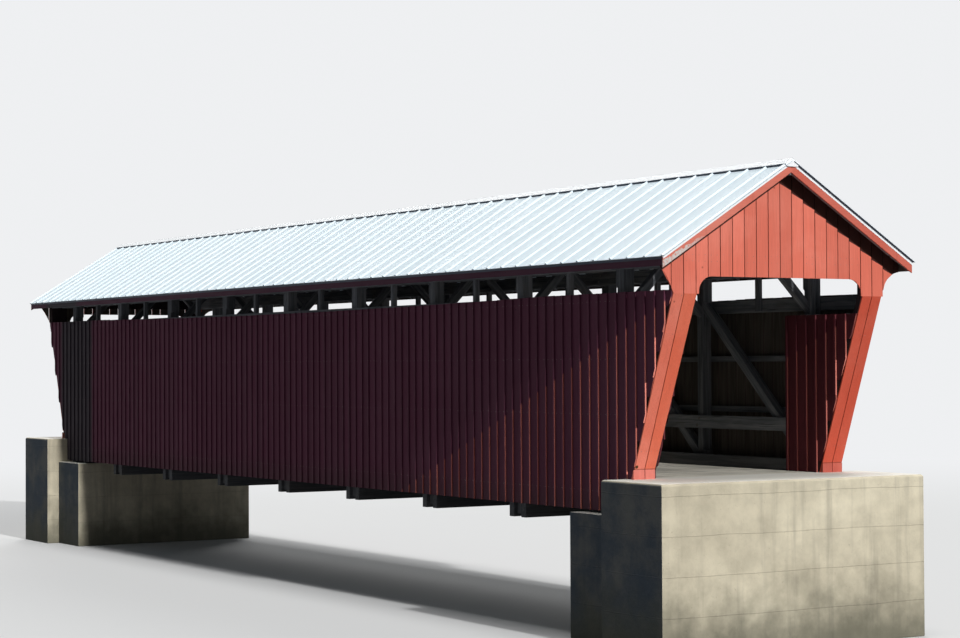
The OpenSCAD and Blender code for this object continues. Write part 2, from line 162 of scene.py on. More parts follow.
# Washers and bolt heads, each as a radius and a thickness, and how far the bolts of a pair are from its
# middle, up or down in the rail and the chord, and along both
WASHER = (0.026, 0.004)
BOLT_HEAD = (0.014, 0.012)
RAIL_BOLTS = 0.060
CHORD_BOLTS = 0.055
BOLTS_ALONG = 0.030
# The siding has settled: its top stands higher near the ends, and sags between them over this half length
TOP_RISE = 0.030
TOP_SAG = 0.075
SAG_HALF = 10.0
# Battens run on past the backs of the legs on the left, and stop short of them on the right
BATTEN_PAST = 0.010
RIGHT_CUT = 0.090
# How far edges are eased on sawn boards, thin metal and concrete
SAWN_EASED = 0.003
METAL_EASED = 0.001
CONCRETE_EASED = 0.012
# The low sun reaches in under the joint of the portal, and falls by this much for each metre
SUN_FALL = 0.395
# Below the joint, the heights from which the sides of the siding and of the inner boarding are painted as
# lit by the low sun
SUNLIT_DROP = 0.045
PANEL_SUNLIT_DROP = 0.240
# The gable is painted black just under the rakes: painted shadow of the rakes and their overhang. On the
# left it reaches down past the rake by the first number below times the overhang and the second, and on the
# right as far as the sun's shadow, and the third more at the inner edge of each board
SHADOW_FALL = 0.37
SHADOW_D = 0.035
SHADOW_STEP = 0.040
# Where the near black at the far end of the siding fades in, and out again
FAR_DARK_IN = (-10.15, -10.55)
FAR_DARK_OUT = (-12.75, -12.25)
# Paint has peeled off the left rake from here outwards, below a depth under the line of the roof, which is
# less further out
PEEL_FROM = -1.55
PEEL_DEPTHS = (0.245, 0.165)
# A knot hole in the left near leg, above its plinth, painted dark as the shade inside it
KNOT_HOLE = (-2.075, 0.195)
# Middle of a wheel track, and the places between which the deck becomes pale with dust and with painted
# sunlight
TRACK_Y = 0.75
DUST_AND_SUN = (10.5, 13.2)
# Height of one lift of the form in which the concrete was cast
FORM_LIFT = 0.61
# Specular levels of chalky paint, bare wood, coated sheet and concrete
PAINT_GLOSS = 0.12
WOOD_GLOSS = 0.15
SHEET_GLOSS = 0.08
CONCRETE_GLOSS = 0.20


def low(node):
    """Lowest corner of a node of the frame."""
    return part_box(node)[0]


def high(node):
    """Highest corner of a node of the frame."""
    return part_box(node)[1]


# Places taken from the frame
DECK = high("deck").z
SIDING_TOP = high("right_siding").z
SIDING_FOOT = low("right_siding").z
WALL_IN = low("right_siding").y
WALL_OUT = high("right_siding").y
SIDING_END = high("deck").x - SLAB_GAP
JOINT = high("near_legs").z
GABLE_X = high("near_legs").x
FOOT_X = GABLE_X - LEAN_RUN
LEG_OUT = high("near_legs").y
LEAN = LEAN_RUN / (JOINT - DECK)
LEG_BACK = BOARD_T * math.hypot(1.0, LEAN)
PANEL_BACK = high("near_end_panels").y
PANEL_FACE = PANEL_BACK - BOARD_T
PANEL_TOP = high("near_end_panels").z
PANEL_END = low("near_end_panels").x
ROOF_X = high("right_roof").x
SHEET_PITCH = 2 * ROOF_X / SHEETS
FASCIA_OUT = high("fascias").y
FASCIA_IN = high("near_gable").y
FASCIA_FOOT = low("fascias").z
TAN_PITCH = (high("near_gable").z - high("fascias").z) / FASCIA_OUT
PITCH = math.atan(TAN_PITCH)
PURLIN_UNDER = high("near_gable").z
OVERHANG = ROOF_X - GABLE_X
RIDGE = PURLIN_UNDER + (SHEET_T + PURLIN_T) / math.cos(PITCH)
SLOPE = (high("right_roof").y - SEAM_H * math.sin(PITCH)) / math.cos(PITCH)
RAKE_DEPTH = PURLIN_UNDER - high("near_rakes").y * TAN_PITCH - low("near_rakes").z


def camera():
    """The photograph's camera: yaw about Z, then pitch, then roll about the line of sight."""
    yaw, pitch, roll = (math.radians(a) for a in (CAMERA_YAW, CAMERA_PITCH, CAMERA_ROLL))
    ahead = np.array([math.cos(pitch) * math.cos(yaw), math.cos(pitch) * math.sin(yaw), math.sin(pitch)])
    level = np.array([math.sin(yaw), -math.cos(yaw), 0.0])
    upright = np.cross(level, ahead)
    right = level * math.cos(roll) + upright * math.sin(roll)
    up = upright * math.cos(roll) - level * math.sin(roll)
    data = bpy.data.cameras.new("camera")
    data.sensor_width = SENSOR_MM
    data.lens = LENS_PX * SENSOR_MM / PHOTO_W
    data.clip_end = 2000.0
    obj = bpy.data.objects.new("camera", data)
    bpy.context.scene.collection.objects.link(obj)
    obj.matrix_world = Matrix.Translation(CAMERA_AT) @ Matrix((right, up, -ahead)).transposed().to_4x4()
    bpy.context.scene.camera = obj


# Shader nodes

class Value:
    """What a node puts out. Numbers can be used in a formula, which places a maths node for each sign."""

    def __init__(self, socket):
        self.socket = socket
        self.tree = socket.id_data

    def __add__(self, other):
        return maths("ADD", self, other)

    def __sub__(self, other):
        return maths("SUBTRACT", self, other)

    def __rsub__(self, other):
        return maths("SUBTRACT", other, self)

    def __mul__(self, other):
        return maths("MULTIPLY", self, other)

    def __truediv__(self, other):
        return maths("DIVIDE", self, other)

    def __abs__(self):
        return maths("ABSOLUTE", self)

    __radd__ = __add__
    __rmul__ = __mul__


def put(tree, kind, links=None, **settings):
    """Adds one node: settings are its properties, and links fill its inputs by name or number, with values
    of other nodes or with plain ones. A plain colour is three numbers."""
    node = tree.nodes.new("ShaderNode" + kind)
    for key, setting in settings.items():
        setattr(node, key, setting)
    for key, value in (links or {}).items():
        socket = node.inputs[key]
        if isinstance(value, Value):
            tree.links.new(value.socket, socket)
        else:
            socket.default_value = (*value, 1.0) if socket.type == "RGBA" else value
    return node


def outputs(node):
    """All values that a node puts out, by name."""
    return {socket.name: Value(socket) for socket in node.outputs}


def result(tree, kind, links=None, output=0, **settings):
    """Adds one node, for one of the values that it puts out."""
    return Value(put(tree, kind, links, **settings).outputs[output])


def maths(operation, a, b=0.0):
    """One operation on two numbers, of which one may be plain."""
    tree = (a if isinstance(a, Value) else b).tree
    return result(tree, "Math", {0: a, 1: b}, operation=operation)


def stretch(vector, scale):
    """A vector multiplied by a scale for each axis."""
    return result(vector.tree, "VectorMath", {0: vector, 1: scale}, operation="MULTIPLY")


def split(vector):
    """The three parts of a vector."""
    return list(outputs(put(vector.tree, "SeparateXYZ", {0: vector})).values())


def noise(vector, scale, detail=3.0, roughness=0.55, distortion=0.0):
    """Soft noise around one half."""
    links = {"Vector": vector, "Scale": scale, "Detail": detail, "Roughness": roughness,
             "Distortion": distortion}
    return result(vector.tree, "TexNoise", links, "Fac")


def step(value, start, end, out_start=0.0, out_end=1.0):
    """A smooth step between two limits."""
    links = {"Value": value, "From Min": start, "From Max": end, "To Min": out_start, "To Max": out_end}
    return result(value.tree, "MapRange", links, interpolation_type="SMOOTHSTEP", clamp=True)


def mix(mask, a, b, blend="MIX"):
    """One colour mixed into another by a mask. MULTIPLY tints the first colour by the second."""
    return result(mask.tree, "Mix", {0: mask, 6: a, 7: b}, 2, data_type="RGBA", blend_type=blend)


def shade(colour, factor):
    """A colour made lighter or darker by a factor that changes over the surface."""
    return result(factor.tree, "HueSaturation", {"Value": factor, "Color": colour})


def place(tree):
    """Object coordinates, which are metres in the shared frame."""
    return result(tree, "TexCoord", output="Object")


def normal(tree):
    """The direction in which the surface looks."""
    return result(tree, "NewGeometry", output="Normal")


def own_tone(tree):
    """The tone of one board or timber, from 0 to 1."""
    return result(tree, "Attribute", output="Fac", attribute_name="tone")


def facing(tree, axis):
    """How far a face looks away from the middle of the bridge along an axis: 1 outwards, -1 inwards."""
    away, spot = (split(vector)[axis] for vector in (normal(tree), place(tree)))
    return away * maths("SIGN", spot)


def shared_group(name, label, marks):
    """A shader group that is given one vector, and puts out the numbers that marks works out from it."""
    tree = bpy.data.node_groups.new(name, "ShaderNodeTree")
    tree.interface.new_socket(label, in_out="INPUT", socket_type="NodeSocketVector")
    found = marks(Value(tree.nodes.new("NodeGroupInput").outputs[label]))
    for key in found:
        tree.interface.new_socket(key, in_out="OUTPUT", socket_type="NodeSocketFloat")
    end = tree.nodes.new("NodeGroupOutput")
    for key, value in found.items():
        tree.links.new(value.socket, end.inputs[key])
    return tree


def use_group(group, vector):
    """Places a shared group, and gives what it puts out, by name."""
    return outputs(put(vector.tree, "Group", {0: vector}, node_tree=group))


def wood_grain(wood):
    """Grain along X of the wood vector: fine streaks, a broad figure, round knots in some cells, drying
    cracks, and a height made of all four."""
    streaks = noise(stretch(wood, (2.4, 95.0, 95.0)), 1.0, 4.0, 0.62)
    figure = noise(stretch(wood, (0.8, 13.0, 13.0)), 1.0, 3.0, 0.5, 0.9)
    cells = outputs(put(wood.tree, "TexVoronoi", {"Vector": wood, "Scale": 4.0}))
    chosen = step(result(wood.tree, "SeparateColor", {0: cells["Color"]}), 0.66, 0.68)
    knots = step(cells["Distance"], 0.085, 0.035) * chosen
    cracks = step(noise(stretch(wood, (1.1, 42.0, 42.0)), 1.0, 2.0, 0.5), 0.335, 0.30)
    height = streaks + figure * 0.6 - (knots * 0.5 + cracks * 1.2)
    return {"Streaks": streaks, "Figure": figure, "Knots": knots, "Cracks": cracks, "Height": height}


def weather_marks(spot):
    """Marks of rain and time on a standing surface: runs down it, soft blotches, and fine specks."""
    return {"Runs": noise(stretch(spot, (11.0, 11.0, 0.45)), 1.0, 4.0, 0.6),
            "Blotch": noise(spot, 0.8, 4.0, 0.6, 0.4),
            "Specks": noise(spot, 38.0, 3.0, 0.7)}


GRAIN = shared_group("wood_grain", "Wood", wood_grain)
WEATHER = shared_group("weather", "Place", weather_marks)


# Materials

def clean_tree(owner):
    """The empty node tree of a material or a world."""
    owner.use_nodes = True
    owner.node_tree.nodes.clear()
    return owner.node_tree


def new_material(name):
    """A material and its empty node tree."""
    material = bpy.data.materials.new(name)
    return material, clean_tree(material)


def surfaced(material, colour, roughness, height, depth, gloss, metallic=0.0):
    """Ends a material with its one shader: a colour, a roughness, a bump of a depth in metres, and a
    specular level, its gloss."""
    tree = material.node_tree
    bump = result(tree, "Bump", {"Height": height, "Distance": depth, "Strength": 1.0})
    shader = result(tree, "BsdfPrincipled", {"Base Color": colour, "Roughness": roughness, "Normal": bump,
                                             "Metallic": metallic, "Specular IOR Level": gloss})
    put(tree, "OutputMaterial", {"Surface": shader})
    return material


def wood_inputs(tree):
    """The piece's own tone and wood vector, the marks of its grain, and those of the weather."""
    wood = result(tree, "Attribute", output="Vector", attribute_name="wood")
    return own_tone(tree), wood, use_group(GRAIN, wood), use_group(WEATHER, place(tree))


def paint(name, fresh, faded, bare, wear, contrast, marks, back=None):
    """Old barn paint on boards: a tone for each board, fading, grain showing through, and chips along the
    grain. marks adds what these boards alone have, and back is the axis across the boards, where their
    inner faces have never been painted."""
    material, tree = new_material(name)
    tone, wood, grain, weather = wood_inputs(tree)
    colour = mix(step(weather["Blotch"], 0.35, 0.70), fresh, faded)
    colour = shade(colour, 1.0 - contrast / 2 + tone * contrast)
    colour = shade(colour, step(grain["Streaks"], 0.25, 0.75, 0.90, 1.06))
    colour = shade(colour, step(weather["Runs"], 0.55, 0.80, 1.0, 0.82))
    colour = shade(colour, step(grain["Knots"], 0.0, 1.0, 1.0, 0.55))
    flakes = noise(stretch(wood, (9.0, 60.0, 60.0)), 1.0, 5.0, 0.65)
    patch = step(noise(stretch(wood, (0.9, 4.0, 4.0)), 1.0, 2.0), 0.45, 0.75, -0.10, 0.06)
    chips = step(flakes + patch, 0.80 - wear, 0.84 - wear)
    colour, chips = marks(tree, colour, chips)
    colour = mix(chips, colour, bare)
    if back is not None:
        raw = shade(RAW_WOOD, step(grain["Figure"], 0.3, 0.7, 0.75, 1.30))
        colour = mix(step(facing(tree, back), -0.5, -0.8), colour, raw)
    roughness = step(grain["Streaks"], 0.2, 0.8, 0.62, 0.84)
    return surfaced(material, colour, roughness, grain["Height"] - chips * 0.7, 0.0010, PAINT_GLOSS)


def bare_wood(name, dark, pale, warm, marks=None):
    """Unpainted timber gone grey: pale and dark figure, a warm stain in places, and open drying cracks.
    marks adds what some timbers alone have."""
    material, tree = new_material(name)
    tone, wood, grain, weather = wood_inputs(tree)
    colour = mix(step(grain["Figure"], 0.30, 0.72), dark, pale)
    colour = mix(step(weather["Blotch"], 0.50, 0.80, 0.0, 0.6), colour, warm)
    colour = shade(colour, 0.78 + tone * 0.44)
    colour = shade(colour, step(grain["Streaks"], 0.25, 0.75, 0.80, 1.12))
    colour = shade(colour, step(grain["Cracks"], 0.0, 1.0, 1.0, 0.40))
    colour = shade(colour, step(grain["Knots"], 0.0, 1.0, 1.0, 0.55))
    if marks:
        colour = marks(tree, colour, weather)
    roughness = step(grain["Streaks"], 0.2, 0.8, 0.72, 0.92)
    return surfaced(material, colour, roughness, grain["Height"], 0.0016, WOOD_GLOSS)


def painted_sunlit_sides(tree, colour, drop=SUNLIT_DROP, strength=1.0, reach=GABLE_X - SIDING_END):
    """Painted light: the sides of boards and battens that look out at a portal are painted about its colour,
    as lit by the low sun, as far in as it reaches under the joint of its legs."""
    x, y, z = split(place(tree))
    inward = GABLE_X - abs(x)
    above = z - (JOINT - drop - inward * SUN_FALL)
    reached = step(above, 0.03, -0.03) * step(facing(tree, 0), 0.6, 0.9)
    open_side = maths("MAXIMUM", step(inward, reach, reach - 0.02), step(abs(y), WALL_OUT - 0.003, WALL_OUT))
    # The colour of the sunlit sides, painted light
    pale = mix(step(own_tone(tree), 0.1, 1.0), (0.34, 0.095, 0.070), (0.84, 0.27, 0.20))
    return mix(reached * open_side * strength, colour, pale)


def sun_on_panels(tree, colour, chips):
    """Painted light: the edges of the inner boarding on the right are painted as lit by the low sun, for its
    whole length.
    """
    right = step(split(place(tree))[1], -0.5, 0.5, 0.0, 0.80)
    return painted_sunlit_sides(tree, colour, PANEL_SUNLIT_DROP, right, GABLE_X - PANEL_END + 0.1), chips


def siding_marks(tree, colour, chips):
    """The siding has dirt along its foot, and the fascias are darkened towards near black all over: painted
    shade under the eaves. About two metres of the siding at the far end are made almost black, up to the
    last boards."""
    spot = place(tree)
    x, _, z = split(spot)
    ragged = x + noise(spot, 3.0) * 0.24
    # Near black over the far end of the siding, fading in and out
    far_dark = step(ragged, *FAR_DARK_IN) * step(ragged, *FAR_DARK_OUT)
    low_dirt = step(z, SIDING_FOOT + 0.55, SIDING_FOOT, 0.0, 0.45)
    # Painted shade: the fascias under the eaves are darkened to a bluish near black
    fascia_shade = step(z, SIDING_TOP + 0.25, SIDING_TOP + 0.30, 0.0, 0.45)
    colour = painted_sunlit_sides(tree, mix(low_dirt, colour, (0.030, 0.018, 0.016)))
    colour = mix(fascia_shade, colour, (0.012, 0.010, 0.018))
    return mix(far_dark * 0.90, colour, (0.018, 0.018, 0.022)), chips


def gable_painted_shadow(tree, colour, chips):
    """Painted shadow: the gable boards are painted black under the rakes, where the rakes and their overhang
    cast shade, on the right with a step at each board."""
    y, z = split(place(tree))[1:]
    out = abs(y)
    depth = PURLIN_UNDER - out * TAN_PITCH - z
    left = RAKE_DEPTH + SHADOW_FALL * OVERHANG + SHADOW_D
    right = RAKE_DEPTH + SUN_FALL * OVERHANG + SHADOW_STEP - maths("FRACT", out / GABLE_BOARD_W) * SHADOW_STEP
    limit = left + step(y, -0.01, 0.01) * (right - left)
    # Painted shadow: near black down to the shadow line of the rakes
    return mix(step(depth - limit, 0.006, -0.006, 0.0, 0.94), colour, (0.012, 0.008, 0.007)), chips


def leg_marks(tree, colour, chips):
    """The right legs have kept more of their colour than the left ones, the inner board of a left leg is
    more orange than the outer one, a dark line of painted shade lies along the tops of the plinths, in the
    gap where the legs meet them, and there is one knot hole, painted dark as the shade inside it."""
    x, y, z = split(place(tree))
    up = z - DECK
    colour = mix(step(y, -0.5, 0.5), colour, (0.81, 0.54, 0.48), "MULTIPLY")
    foot, joint = LEG_EDGES[-1][1]
    off = y + foot - up * ((foot - joint) / (JOINT - DECK))
    inner = step(off, -0.004, 0.004) * step(y, 0.0, -0.5)
    colour = mix(inner, colour, (0.97, 0.82, 0.70), "MULTIPLY")
    # Painted shade: a dark line just above the plinths, for the gap between leg and plinth
    seam = step(abs(up - (PLINTH_H + 0.006)), 0.011, 0.005, 0.0, 0.60)
    colour = mix(seam, colour, (0.16, 0.05, 0.035))
    # Painted shade: the dark inside of the knot hole
    across, over = y - KNOT_HOLE[0], up - KNOT_HOLE[1]
    away = maths("SQRT", across * across + over * over)
    hole_shade = step(away, 0.034, 0.018) * step(x, 0.0, 1.0)
    return mix(hole_shade, colour, (0.055, 0.032, 0.012)), chips


def plinth_marks(tree, colour, chips):
    """The plinths of the right legs are darker than those of the left ones."""
    right = step(split(place(tree))[1], -0.5, 0.5)
    return mix(right, colour, (0.74, 0.64, 0.61), "MULTIPLY"), chips


def peeled_rake(tree, colour, chips):
    """Paint has peeled off the lower half of the left rake board of the near gable, near the eaves. The
    right rakes have kept more of their colour."""
    spot = place(tree)
    x, y, z = split(spot)
    colour = mix(step(y, -0.1, 0.1), colour, (0.90, 0.78, 0.76), "MULTIPLY")
    end = step(y, PEEL_FROM, PEEL_FROM - 0.55) * step(x, 0.0, 1.0)
    depth = RIDGE - abs(y) * TAN_PITCH - z
    over = depth + noise(spot, 9.0, 4.0) * 0.16 - step(y, PEEL_FROM, PEEL_FROM - 0.70, *PEEL_DEPTHS)
    flecks = step(noise(spot, 30.0, 3.0, 0.7), 0.36, 0.48)
    return colour, maths("MAXIMUM", chips, step(over, 0.0, 0.02) * end * flecks)


def floor_dirt(tree, colour, weather):
    """Mud and grime blacken the timbers near the deck and below it."""
    z = split(place(tree))[2]
    return mix(step(z, DECK + 0.42, DECK + 0.18, 0.0, 0.62), colour, (0.022, 0.021, 0.020))


def wheel_tracks(tree, colour, weather):
    """Wheels have worn two pale tracks along the deck, and grit darkens it in patches. Towards its ends it
    is pale with dust, together with painted light where the low sun falls in at the portals."""
    x, y = split(place(tree))[:2]
    track = step(abs(abs(y) - TRACK_Y), 0.40, 0.12, 0.0, 0.45)
    colour = mix(track, colour, (0.72, 0.68, 0.58))
    grit = step(weather["Blotch"], 0.45, 0.75, 0.0, 0.4)
    colour = mix(grit, colour, (0.38, 0.35, 0.29))
    return mix(step(abs(x), *DUST_AND_SUN, 0.0, 0.80), colour, (0.84, 0.79, 0.67))


def roof_paint(name, colour_a, colour_b):
    """White coated sheet with a pale blue cast, which is painted skylight: a slight tone for each sheet,
    dust run down from the ridge, and shallow dents.
    """
    material, tree = new_material(name)
    spot = place(tree)
    sheet = maths("FLOOR", split(spot)[0] / SHEET_PITCH)
    own = result(tree, "TexWhiteNoise", {"W": sheet}, "Value", noise_dimensions="1D")
    weather = use_group(WEATHER, stretch(spot, (1.0, 0.12, 0.5)))
    colour = mix(own, colour_a, colour_b)
    colour = mix(step(weather["Runs"], 0.55, 0.90, 0.0, 0.28), colour, (0.56, 0.58, 0.58))
    colour = mix(step(weather["Specks"], 0.66, 0.78, 0.0, 0.20), colour, (0.40, 0.39, 0.36))
    roughness = step(weather["Blotch"], 0.3, 0.7, 0.50, 0.64)
    dents = noise(stretch(spot, (5.0, 1.6, 1.6)), 1.0, 2.0, 0.5)
    return surfaced(material, colour, roughness, dents, 0.003, SHEET_GLOSS)


def concrete(name):
    """Cast concrete: faint lifts from the form, pores, soft runs of dirt, a top painted pale as the sun
    lights it, sides facing across the bridge darkened to a bluish near black, which is painted shade
    together with dirt, and damp low down."""
    material, tree = new_material(name)
    spot = place(tree)
    z = split(spot)[2]
    aside, up = split(normal(tree))[1:]
    weather = use_group(WEATHER, stretch(spot, (0.35, 0.35, 0.6)))
    colour = mix(step(weather["Blotch"], 0.30, 0.70), (0.52, 0.465, 0.345), (0.69, 0.625, 0.47))
    colour = shade(colour, step(noise(spot, 2.6, 5.0, 0.62), 0.25, 0.75, 0.86, 1.10))
    # Painted light: faces that look up are painted pale, as lit by the sun
    colour = mix(step(up, 0.8, 0.95, 0.0, 0.88), colour, (0.93, 0.915, 0.83))
    upright = step(up, 0.7, 0.4)
    colour = mix(step(weather["Runs"], 0.45, 0.80, 0.0, 0.55) * upright, colour, (0.20, 0.185, 0.15))
    # Sides that face across the bridge: painted shade with a bluish cast, together with dirt
    shade_and_grime = step(noise(spot, 1.3, 5.0, 0.6), 0.30, 0.62, 0.80, 0.98)
    colour = mix(step(abs(aside), 0.6, 0.9) * shade_and_grime, colour, (0.042, 0.058, 0.078))
    damp = step(z - noise(spot, 1.7, 4.0) * 1.6, 0.5, -0.9) * upright
    colour = mix(damp * 0.8, colour, (0.085, 0.085, 0.06))
    pores = step(noise(spot, 55.0, 2.0, 0.5), 0.70, 0.78)
    colour = shade(colour, step(pores, 0.0, 1.0, 1.0, 0.70))
    line = maths("FRACT", (z + noise(spot, 0.9, 2.0) * 0.05) / FORM_LIFT)
    seam = step(abs(line - 0.5), 0.485, 0.5) * upright
    colour = shade(colour, step(seam, 0.0, 1.0, 1.0, 0.85))
    roughness = step(weather["Specks"], 0.2, 0.8, 0.80, 0.95)
    height = noise(spot, 9.0, 5.0, 0.65) + (seam * 0.8 - pores)
    return surfaced(material, colour, roughness, height, 0.006, CONCRETE_GLOSS)


def plain_metal(name, colour_a, colour_b, rough_a, rough_b, metallic, gloss=0.5):
    """Bolts and trim: two tones of scale or dust over one another."""
    material, tree = new_material(name)
    speckle = noise(place(tree), 60.0, 4.0, 0.65)
    colour = mix(step(speckle, 0.4, 0.65), colour_a, colour_b)
    roughness = step(speckle, 0.3, 0.7, rough_a, rough_b)
    return surfaced(material, colour, roughness, speckle, 0.0006, gloss, metallic)


RAW_WOOD = (0.085, 0.072, 0.060)
PALE_WOOD = (0.52, 0.46, 0.40)
PORTAL_RED = paint("portal_red", (0.675, 0.160, 0.105), (0.735, 0.210, 0.148), PALE_WOOD, 0.02, 0.16,
                   gable_painted_shadow, 0)
RAKE_RED = paint("rake_red", (0.660, 0.170, 0.118), (0.720, 0.225, 0.165), (0.60, 0.54, 0.50), 0.05, 0.16,
                 peeled_rake, 0)
LEG_RED = paint("leg_red", (0.680, 0.160, 0.100), (0.720, 0.215, 0.150), PALE_WOOD, 0.03, 0.12,
                leg_marks, 0)
PLINTH_RED = paint("plinth_red", (0.640, 0.160, 0.118), (0.690, 0.215, 0.170), PALE_WOOD, 0.03, 0.14,
                   plinth_marks, 0)
# Dark maroon siding and fascias: the barn red of the portals darkened as painted shade, with a bluish cast
# of skylight
SIDING_RED_SHADED = paint("siding_red", (0.094, 0.025, 0.048), (0.108, 0.033, 0.058), (0.16, 0.14, 0.13), 0.0,
                   0.26, siding_marks, 1)
# Dark inner boarding: the barn red darkened as painted shade
INNER_RED_SHADED = paint("inner_red_shaded", (0.110, 0.022, 0.030), (0.124, 0.030, 0.038), (0.20, 0.17, 0.15), 0.0, 0.30,
                  sun_on_panels)
GREY_TIMBER = bare_wood("grey_timber", (0.120, 0.128, 0.142), (0.245, 0.253, 0.265), (0.18, 0.16, 0.14),
                        floor_dirt)
# Near-black frame: grey timber painted as in shade
FRAME_WOOD_SHADED = bare_wood("frame_wood_shaded", (0.020, 0.012, 0.014), (0.040, 0.026, 0.028), (0.03, 0.022, 0.018))
DECK_WOOD = bare_wood("deck_planks", (0.44, 0.415, 0.36), (0.70, 0.66, 0.57), (0.52, 0.46, 0.37),
                      wheel_tracks)
# The pale blue cast of the roof sheet is painted skylight
ROOF_WHITE = roof_paint("roof_metal", (0.700, 0.800, 0.855), (0.735, 0.830, 0.880))
TRIM_WHITE = plain_metal("trim_white", (0.87, 0.89, 0.90), (0.90, 0.92, 0.93), 0.50, 0.62, 0.0, 0.08)
# Dark bluish metal for drip edges, verge hems and ridge closures: white metal painted as in shade
SHADE_METAL = plain_metal("shade_metal", (0.030, 0.038, 0.060), (0.050, 0.062, 0.092), 0.45, 0.60, 0.0, 0.2)
IRON = plain_metal("iron", (0.16, 0.14, 0.13), (0.34, 0.32, 0.30), 0.45, 0.70, 0.6)
CONCRETE = concrete("concrete")


# Meshes

def mark_wood(mesh, wood, tone):
    """Stores the wood vector and the tone of every point of a mesh."""
    mesh.attributes.new("wood", "FLOAT_VECTOR", "POINT").data.foreach_set("vector", wood.ravel())
    mesh.attributes.new("tone", "FLOAT", "POINT").data.foreach_set("value", tone)


def piece(name, points, faces, material, wood=None, tone=None, replaced=()):
    """Makes a mesh piece at the origin, with its wood vector and tone, and lets it ride on the one body."""
    mesh = bpy.data.meshes.new(name)
    mesh.from_pydata(points, [], faces)
    mesh.update()
    if wood is not None:
        mark_wood(mesh, wood, tone)
    mesh.materials.append(material)
    obj = bpy.data.objects.new(name, mesh)
    bpy.context.scene.collection.objects.link(obj)
    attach(obj, "root")
    if replaced:
        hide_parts(*replaced)


class Bars:
    """Closed bars gathered from whole arrays, to be made one mesh with a wood vector and tone for each."""

    def __init__(self):
        self.points, self.faces, self.wood, self.tone, self.count = [], [], [], [], 0

    def add(self, axis, start, end, outline, outline_end=None):
        """Adds N bars along an axis. start and end are (N, P) places of each outline point's two ends along
        it, and outline is (N, P, 2) in the two axes that follow it in turn; one place or outline may stand
        for all. The outline is turned round where its signed area is negative, so that faces point
        outwards."""
        last = outline if outline_end is None else outline_end
        n, p = np.broadcast_shapes(np.shape(start), np.shape(end), outline.shape[:2])
        start, end = (np.broadcast_to(a, (n, p)) for a in (start, end))
        first, last = (np.broadcast_to(a, (n, p, 2)) for a in (outline, last))
        u, v = first[..., 0], first[..., 1]
        turned = ((u * np.roll(v, -1, 1) - v * np.roll(u, -1, 1)).sum(1) < 0)[:, None]
        start, end = (np.where(turned, a[:, ::-1], a) for a in (start, end))
        first, last = (np.where(turned[..., None], a[:, ::-1], a) for a in (first, last))
        ends = np.stack([np.dstack([start, first]), np.dstack([end, last])], 1).reshape(-1, 3)
        shift = np.repeat(RNG.uniform(0.0, 40.0, (n, 3)), 2 * p, axis=0)
        self.wood.append(ends + shift)
        self.tone.append(np.repeat(RNG.random(n), 2 * p))
        self.points.append(np.roll(ends, axis, axis=1))
        base = (self.count + np.arange(n) * 2 * p)[:, None, None]
        i = np.arange(p)
        j = (i + 1) % p
        self.faces += (base + np.stack([i, j, j + p, i + p], 1)).reshape(-1, 4).tolist()
        self.faces += (base[:, 0] + i[::-1]).tolist()
        self.faces += (base[:, 0] + p + i).tolist()
        self.count += n * 2 * p

    def make(self, name, material, slot, replaced=()):
        """Makes the one mesh piece."""
        piece(name, np.vstack(self.points), self.faces, material,
              np.vstack(self.wood).astype(np.float32), np.hstack(self.tone).astype(np.float32), replaced)


def solids_of(mesh):
    """Number of the solid that each vertex belongs to: the lowest number spreads along the edges."""
    ends = np.empty(len(mesh.edges) * 2, np.int32)
    mesh.edges.foreach_get("vertices", ends)
    a, b = ends.reshape(-1, 2).T
    label = np.arange(len(mesh.vertices))
    while True:
        lower = label.copy()
        np.minimum.at(lower, a, label[b])
        np.minimum.at(lower, b, label[a])
        lower = lower[lower]
        if (lower == label).all():
            return np.unique(label, return_inverse=True)[1]
        label = lower


def lay_grain(mesh):
    """Gives each solid its own tone, and a wood vector whose X runs along its longest principal axis."""
    co = np.empty(len(mesh.vertices) * 3, np.float32)
    mesh.vertices.foreach_get("co", co)
    co = co.reshape(-1, 3)
    solid = solids_of(mesh)
    wood = np.empty_like(co)
    tone = RNG.random(solid.max() + 1).astype(np.float32)[solid]
    for k in range(solid.max() + 1):
        own = co[solid == k] - co[solid == k].mean(0)
        axes = np.linalg.svd(own, full_matrices=False)[2]
        wood[solid == k] = own @ axes.T + RNG.uniform(0.0, 40.0, 3)
    mark_wood(mesh, wood, tone)


def eased(node, material, width, segments=1):
    """A frame node with its edges eased: its doubles merged, its flat faces joined, then a bevel."""
    work = bmesh.new()
    work.from_mesh(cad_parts[node].data)
    bmesh.ops.remove_doubles(work, verts=work.verts, dist=1e-5)
    bmesh.ops.dissolve_limit(work, angle_limit=math.radians(1.0), verts=work.verts, edges=work.edges)
    mesh = bpy.data.meshes.new(node + "_eased")
    work.to_mesh(mesh)
    work.free()
    obj = bpy.data.objects.new(node + "_eased", mesh)
    bpy.context.scene.collection.objects.link(obj)
    bevel = obj.modifiers.new("bevel", "BEVEL")
    bevel.width = width
    bevel.segments = segments
    bevel.limit_method = "ANGLE"
    bevel.angle_limit = math.radians(25.0)
    baked = bpy.data.meshes.new_from_object(obj.evaluated_get(bpy.context.evaluated_depsgraph_get()))
    obj.modifiers.clear()
    obj.data = baked
    bpy.data.meshes.remove(mesh)
    lay_grain(baked)
    baked.materials.clear()
    baked.materials.append(material)
    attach(obj, "root")
    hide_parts(node)


def in_a_row(reach, count, gap):
    """Both ends of each of some lengths that lie in a row from -reach to reach, with gaps between them."""
    x = np.linspace(-reach, reach, count + 1)
    return x[:-1] + gap / 2, x[1:] - gap / 2


